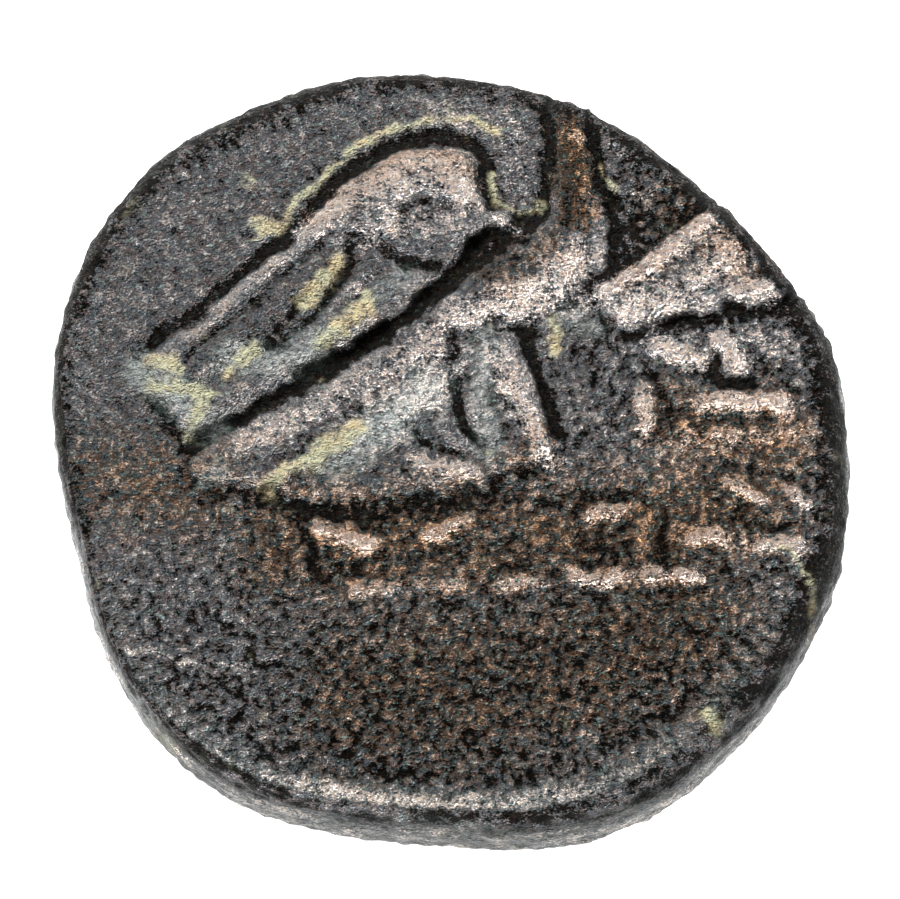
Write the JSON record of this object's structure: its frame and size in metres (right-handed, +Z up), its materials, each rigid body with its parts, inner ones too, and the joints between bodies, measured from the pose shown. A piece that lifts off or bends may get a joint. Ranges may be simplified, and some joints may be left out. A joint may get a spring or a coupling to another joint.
{
  "type": "ancient bronze coin",
  "caption": "Small thick struck bronze coin with an uneven round edge, an eagle in relief above and a worn rosette below.",
  "frame": {"origin": "under the middle of the coin's outline, on the surface that it lies on", "axes": "+Z up out of the eagle side, +Y towards the top of the eagle side, +X to its right"},
  "size_m": [0.019, 0.0188, 0.0038],
  "materials": {
    "worn_bronze": "dark patina, worn to bare bronze on the high parts, with soil in the hollows"
  },
  "bodies": {
    "root": {"struck_coin": "worn_bronze"}
  },
  "joints": []
}
